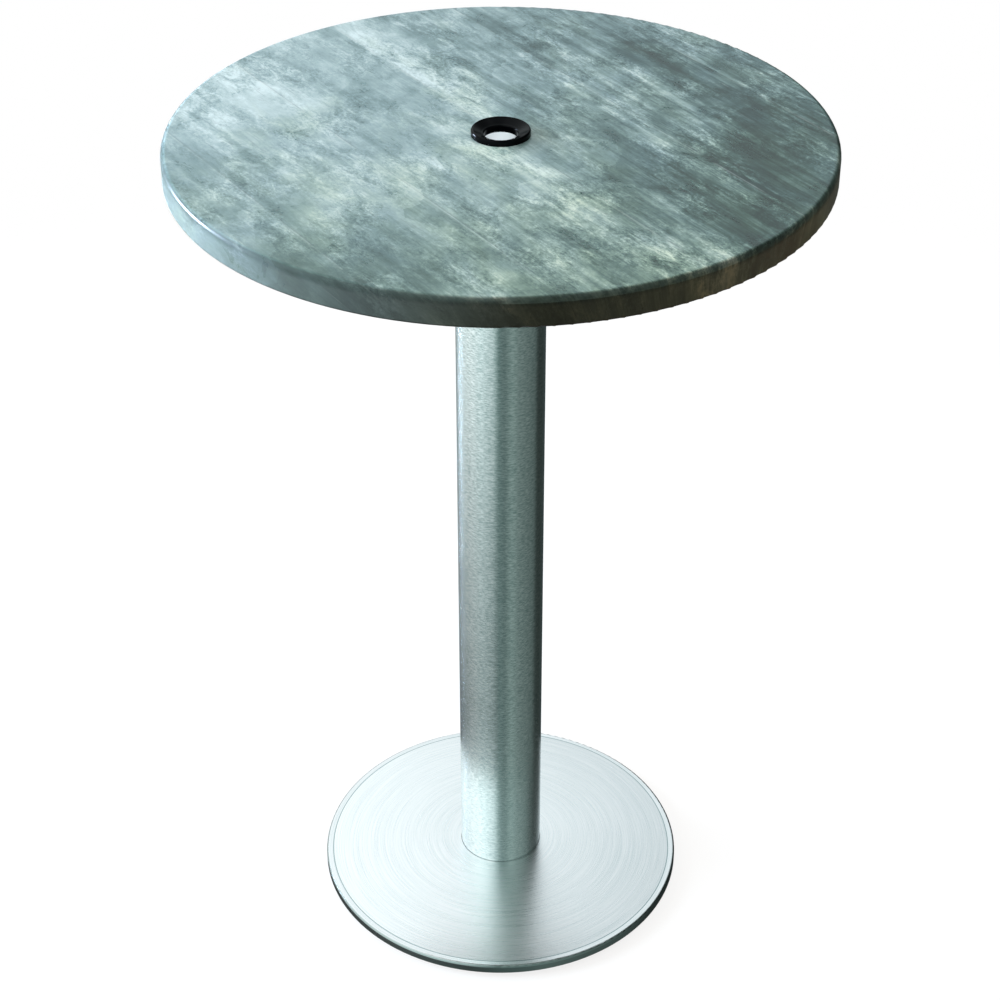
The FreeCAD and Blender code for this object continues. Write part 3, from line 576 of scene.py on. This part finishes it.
def weathered_film(top_height, hole_radius):
    """Printed and sealed film: satin, clouded and streaked, with scratches and flecks. The underside is
    a plain brown backing film, and the wall of the hole is the bare pale core."""
    material, place = bare_material("weathered_film")
    parts = add_node(material, "SeparateXYZ", {}, {"Vector": place}).outputs
    flat = add_node(material, "CombineXYZ", {}, {"X": parts["X"], "Y": parts["Y"]}).outputs["Vector"]
    outward = add_node(material, "VectorMath", {"operation": "NORMALIZE"}, {0: flat}).outputs["Vector"]
    drop = add_node(material, "Math", {"operation": "SUBTRACT", 0: top_height},
                    {1: parts["Z"]}).outputs["Value"]
    over = add_node(material, "VectorMath", {"operation": "SCALE"},
                    {0: outward, "Scale": drop}).outputs["Vector"]
    unrolled = add_node(material, "VectorMath", {"operation": "ADD"}, {0: flat, 1: over}).outputs["Vector"]
    along = add_node(material, "Mapping", {"Rotation": (0, 0, BOARD_TURN)},
                     {"Vector": unrolled}).outputs["Vector"]
    across = add_node(material, "SeparateXYZ", {}, {"Vector": along}).outputs

    layers = print_layers(material, along)
    strips = add_node(material, "Math", {"operation": "MULTIPLY", 1: per_metre(BOARD_WIDTH)},
                      {0: across["Y"]}).outputs["Value"]
    layers["seam"] = add_node(material, "Math", {"operation": "FRACT"}, {0: strips}).outputs["Value"]
    strip = add_node(material, "Math", {"operation": "FLOOR"}, {0: strips}).outputs["Value"]
    shade_of_strip = add_node(material, "TexWhiteNoise", {"noise_dimensions": "1D"},
                              {"W": strip}).outputs["Value"]
    lift = add_node(material, "Math", {"operation": "MULTIPLY_ADD", 1: 0.22, 2: -0.48}, {0: shade_of_strip})
    ground = add_node(material, "Math", {"operation": "ADD"},
                      {0: broad_tones_and_shade(material, across), 1: lift.outputs["Value"]})
    tone = add_node(material, "Math", {"operation": "ADD"},
                    {0: ripple_of(material, layers, parts["X"]), 1: ground.outputs["Value"]}).outputs["Value"]

    printed = wrapped_colour(material, printed_colour(material, tone, layers, flat), drop)
    backing = add_node(material, "MixRGB", {"Color1": linear("#3C3833"), "Color2": linear("#57514A")},
                       {"Fac": layers["blotch"]}).outputs["Color"]
    facing = add_node(material, "NewGeometry", {}, {}).outputs["Normal"]
    upward = add_node(material, "SeparateXYZ", {}, {"Vector": facing}).outputs["Z"]
    below = add_node(material, "MapRange", {"From Min": -0.3, "From Max": -0.6},
                     {"Value": upward}).outputs["Result"]
    covered = add_node(material, "MixRGB", {},
                       {"Fac": below, "Color1": printed, "Color2": backing}).outputs["Color"]
    radius = add_node(material, "VectorMath", {"operation": "LENGTH"}, {0: flat}).outputs["Value"]
    core = add_node(material, "Math", {"operation": "LESS_THAN", 1: hole_radius},
                    {0: radius}).outputs["Value"]
    colour = add_node(material, "MixRGB", {"Color2": linear("#E9ECE8")},
                      {"Fac": core, "Color1": covered}).outputs["Color"]
    gloss = add_node(material, "MapRange", {"To Min": 0.22, "To Max": 0.36},
                     {"Value": layers["blotch"]}).outputs["Result"]
    bump = add_node(material, "Bump", {"Strength": 0.1, "Distance": 0.0003},
                    {"Height": layers["grain"]}).outputs["Normal"]
    set_shader(material, {"Specular IOR Level": 0.35},
               {"Base Color": colour, "Roughness": gloss, "Normal": bump})
    return material


HOLE_RADIUS = 0.0256
top_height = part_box("table_top")[1].z
finish(weathered_film(top_height, HOLE_RADIUS), "table_top")


# Threaded inserts: turned brass, moulded into the top's underside. They take the screws that
# hold the spider, and the spider's arms cover them.
def turned_brass():
    """Brass as turned: warm yellow, with faint clouds of tarnish that dull it."""
    material, place = bare_material("turned_brass")
    tarnish = add_node(material, "TexNoise", {"Scale": per_metre(4), "Detail": 4},
                       {"Vector": place}).outputs["Fac"]
    colour = add_node(material, "MixRGB", {"Color1": linear("#9C7A3C"), "Color2": linear("#D9BC76")},
                      {"Fac": tarnish}).outputs["Color"]
    gloss = add_node(material, "MapRange", {"To Min": 0.25, "To Max": 0.45},
                     {"Value": tarnish}).outputs["Result"]
    set_shader(material, {"Metallic": 1}, {"Base Color": colour, "Roughness": gloss})
    return material


finish(turned_brass(), "top_inserts")


# Screws and washers of the spider: zinc plated steel, two to each arm, into the inserts. The
# screws have a low head with a hexagon socket.
TOP_SCREW_RINGS = ((0.0047, 0), (0.0055, 0.0008), (0.0055, 0.0033), (0.003, 0.0033), (0.003, 0.0173))
TOP_SCREW_REACHES = (0.098, 0.148)
TOP_SCREW_TURNS = (0, 90, 180, 270)
TOP_SOCKET_FLATS = 0.004
TOP_SOCKET_DEPTH = 0.002
finish(zinc, "top_washers")
top_head_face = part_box("top_screws")[0].z
top_places = []
for reach in TOP_SCREW_REACHES:
    top_places += round_column(reach, TOP_SCREW_TURNS, top_head_face)
top_screw = socket_screw(TOP_SCREW_RINGS, TOP_SOCKET_FLATS, TOP_SOCKET_DEPTH)
top_set = set_of_screws(top_screw, top_places, "top_socket_screws")
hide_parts("top_screws")


# Umbrella ring: black plastic, injection moulded in a polished tool, with a dished flange. It is
# pushed into the top's hole.
def gloss_black_plastic():
    """ABS, polished mould: deep black and glossy, with faint handling marks in the gloss."""
    material, place = bare_material("gloss_black_plastic")
    marks = add_node(material, "TexNoise", {"Scale": per_metre(7), "Detail": 6, "Roughness": 0.7},
                     {"Vector": place}).outputs["Fac"]
    colour = add_node(material, "MixRGB", {"Color1": linear("#010102"), "Color2": linear("#040506")},
                      {"Fac": marks}).outputs["Color"]
    gloss = add_node(material, "MapRange", {"To Min": 0.06, "To Max": 0.14},
                     {"Value": marks}).outputs["Result"]
    set_shader(material, {"Specular IOR Level": 0.06}, {"Base Color": colour, "Roughness": gloss})
    return material


finish(gloss_black_plastic(), "umbrella_ring")


# Studio floor: plain and pale, and the table stands on it. It is left out of reflections, so that
# the metal mirrors the studio's light and dark sides. It ends softly and is open from below.
FLOOR_SIZE = 5
FLOOR_FADES_FROM = 0.9
FLOOR_ENDS_AT = 2.2
FLOOR_GLOW = 0.84


def pale_floor():
    """Painted studio floor: matt, nearly white, faintly mottled, fading into the backdrop."""
    material, place = bare_material("pale_floor")
    mottle = add_node(material, "TexNoise", {"Scale": per_metre(900), "Detail": 3}, {"Vector": place})
    colour = add_node(material, "MixRGB", {"Color1": linear("#6B6E6E"), "Color2": linear("#727575")},
                      {"Fac": mottle.outputs["Fac"]}).outputs["Color"]
    radius = add_node(material, "VectorMath", {"operation": "LENGTH"}, {0: place}).outputs["Value"]
    fade = {"From Min": FLOOR_FADES_FROM, "From Max": FLOOR_ENDS_AT, "To Min": 1, "To Max": 0}
    cover = add_node(material, "MapRange", {**fade, "interpolation_type": "SMOOTHSTEP"}, {"Value": radius})
    side = add_node(material, "NewGeometry", {}, {})
    above = add_node(material, "Math", {"operation": "SUBTRACT", 0: 1}, {1: side.outputs["Backfacing"]})
    shown = add_node(material, "Math", {"operation": "MULTIPLY"},
                     {0: cover.outputs["Result"], 1: above.outputs["Value"]}).outputs["Value"]
    set_shader(material, {"Roughness": 0.9, "Specular IOR Level": 0, "Emission Color": linear("#FFFFFF"),
                          "Emission Strength": FLOOR_GLOW}, {"Base Color": colour, "Alpha": shown})
    return material


bpy.ops.object.select_all(action="DESELECT")
bpy.ops.mesh.primitive_plane_add(size=FLOOR_SIZE)
floor = bpy.context.object
floor.name = "floor"
floor.data.materials.append(pale_floor())
floor.visible_diffuse = False
floor.visible_glossy = False
floor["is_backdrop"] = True


# Light: a soft key panel at the left, just above the top, a large ceiling panel behind, a low warm
# panel at the right, and a gridded panel at the left that lights the top's edge and is the only
# one that shows in reflections. Places and sizes are in metres, powers in watts.
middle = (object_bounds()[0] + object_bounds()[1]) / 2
for name, place, aim, size, power, tint, spread, mirrored in (
    ("key_panel", (-2.45, -0.1, 1.3), middle, 1.5, 130, "#DCECFF", 180, False),
    ("ceiling_panel", (-1.5, 5.5, 5), (-1.5, 5.5, 0), 14, 1020, "#FFFFFF", 180, False),
    ("warm_panel", (2.1, 0.3, 0.55), (0.33, -0.15, 1.06), 0.8, 15, "#FFC494", 180, False),
    ("edge_panel", (-2.39, 1.02, 1.35), (-0.35, 0, 1.07), 1.3, 12, "#D2E3FF", 26, True),
):
    bpy.ops.object.light_add(type="AREA", location=place)
    panel = bpy.context.object
    panel.name = name
    panel.rotation_euler = (Vector(aim) - panel.location).to_track_quat("-Z", "Y").to_euler()
    panel.data.size = size
    panel.data.energy = power
    panel.data.color = linear(tint)[:3]
    panel.data.spread = math.radians(spread)
    panel.visible_glossy = mirrored


# Surroundings: pale walls over a dark ground at the left, grey green walls hung with cloth from the
# front to the right, a dark screen behind those, and an open sky overhead at the back. Only
# reflections show them. Matt surfaces get a little warm fill, and the camera sees plain white.
MIRROR_STRENGTH = 1.7
FILL_STRENGTH = 0.11
world = bpy.context.scene.world or bpy.data.worlds.new("studio")
bpy.context.scene.world = world
world.use_nodes = True
world.node_tree.nodes.clear()
sight = add_node(world, "TexCoord", {}, {}).outputs["Generated"]
heading = add_node(world, "SeparateXYZ", {}, {"Vector": sight})
rightward, backward, upward = [heading.outputs[axis] for axis in "XYZ"]
forward = add_node(world, "Math", {"operation": "MULTIPLY", 1: -1}, {0: backward}).outputs["Value"]
bearing = add_node(world, "Math", {"operation": "ARCTAN2"}, {0: rightward, 1: forward}).outputs["Value"]
turn = add_node(world, "MapRange", {"From Min": -math.pi, "From Max": math.pi},
                {"Value": bearing}).outputs["Result"]
walls = add_node(world, "ValToRGB", {}, {"Fac": turn})
set_stops(walls, [(degrees / 360 + 0.5, linear(shade)) for degrees, shade in (
    (-180, "#55656A"), (-165, "#5B6566"), (-120, "#E5EDED"), (-80, "#F7FFFF"), (-50, "#EDFBFB"),
    (-20, "#CCDBDA"), (-5, "#809B97"), (10, "#768F8B"), (30, "#98B3AD"), (50, "#849B96"),
    (100, "#687B77"), (110, "#3E4A47"), (140, "#3E4A47"), (180, "#55656A"),
)])
rise = add_node(world, "MapRange", {"From Min": -1, "From Max": 1}, {"Value": upward}).outputs["Result"]
levels = add_node(world, "ValToRGB", {}, {"Fac": rise})
set_stops(levels, [(height / 2 + 0.5, linear(shade)) for height, shade in (
    (-1, "#181818"), (-0.66, "#272727"), (-0.6, "#484848"), (-0.45, "#F4F4F4"), (0.5, "#FFFFFF"),
)])

zones = {}
for name, direction, start, full in (
    ("right_half", turn, -14 / 360 + 0.5, 0.5),
    ("front_half", backward, 0, -0.2),
    ("above", upward, 0, 0.15),
    ("overhead", upward, 0.12, 0.36),
    ("behind", backward, 0, 0.3),
    ("short_of_right", rightward, 0.5, 0.3),
    ("sideways", rightward, -0.15, 0.15),
):
    zone = add_node(world, "MapRange", {"From Min": start, "From Max": full}, {"Value": direction})
    zones[name] = zone.outputs["Result"]
for name, first, second in (
    ("front_above", "front_half", "above"),
    ("open_behind", "overhead", "behind"),
    ("open_sky", "open_behind", "short_of_right"),
):
    zone = add_node(world, "Math", {"operation": "MULTIPLY"}, {0: zones[first], 1: zones[second]})
    zones[name] = zone.outputs["Value"]

cloth = add_node(world, "MixRGB", {"Color1": linear("#B1A9AA"), "Color2": linear("#E0D9DA")},
                 {"Fac": zones["front_above"]}).outputs["Color"]
drape = add_node(world, "MixRGB", {},
                 {"Fac": zones["right_half"], "Color1": levels.outputs["Color"], "Color2": cloth})
walls_lit = add_node(world, "MixRGB", {"blend_type": "MULTIPLY", "Fac": 1},
                     {"Color1": walls.outputs["Color"], "Color2": drape.outputs["Color"]}).outputs["Color"]
sky = add_node(world, "MixRGB", {"Color1": linear("#E0EAEC"), "Color2": linear("#BCC7CA")},
               {"Fac": zones["sideways"]}).outputs["Color"]
studio = add_node(world, "MixRGB", {}, {"Fac": zones["open_sky"], "Color1": walls_lit, "Color2": sky})
mirrored = add_node(world, "Background", {"Strength": MIRROR_STRENGTH}, {"Color": studio.outputs["Color"]})
fill = add_node(world, "Background", {"Color": linear("#FFCC8C"), "Strength": FILL_STRENGTH}, {})
backdrop = add_node(world, "Background", {"Color": linear("#FFFFFF"), "Strength": 1.0}, {})
ray = add_node(world, "LightPath", {}, {}).outputs
lit = add_node(world, "MixShader", {}, {0: ray["Is Glossy Ray"], 1: fill.outputs[0], 2: mirrored.outputs[0]})
seen = add_node(world, "MixShader", {}, {0: ray["Is Camera Ray"], 1: lit.outputs[0], 2: backdrop.outputs[0]})
add_node(world, "OutputWorld", {}, {"Surface": seen.outputs[0]})


# Camera: the photograph's view, from above standing height, looking down on the top. Its place,
# tilt and focal length come from a fit to the outlines of the top, base, ring and column.
SENSOR = 36
FOCAL_LENGTH = 82.43
CAMERA_PLACE = (-0.0009, -2.3653, 2.1856)
CAMERA_DOWN = math.radians(34.035)
bpy.ops.object.camera_add(location=CAMERA_PLACE, rotation=(math.pi / 2 - CAMERA_DOWN, 0, 0))
camera = bpy.context.object
camera.data.sensor_width = SENSOR
camera.data.lens = FOCAL_LENGTH
bpy.context.scene.camera = camera
bpy.context.scene.view_settings.view_transform = "Standard"


# Snoot: a narrow lamp at the camera's place that shines through the ring onto the far wall of the
# hole in the top, so that the bare core shows pale in the ring.
HOLE_DEPTH = 0.011
SNOOT_ASIDE = -0.002
SNOOT_POWER = 300
SNOOT_CONE = math.radians(0.58)
SNOOT_BLEND = 0.3
SNOOT_MOUTH = 0.005
bpy.ops.object.light_add(type="SPOT", location=CAMERA_PLACE)
snoot = bpy.context.object
snoot.name = "snoot"
hole_wall = Vector((SNOOT_ASIDE, HOLE_RADIUS, top_height - HOLE_DEPTH))
snoot.rotation_euler = (hole_wall - snoot.location).to_track_quat("-Z", "Y").to_euler()
snoot.data.energy = SNOOT_POWER
snoot.data.color = linear("#EAF4FF")[:3]
snoot.data.spot_size = SNOOT_CONE
snoot.data.spot_blend = SNOOT_BLEND
snoot.data.shadow_soft_size = SNOOT_MOUTH
snoot.visible_glossy = False
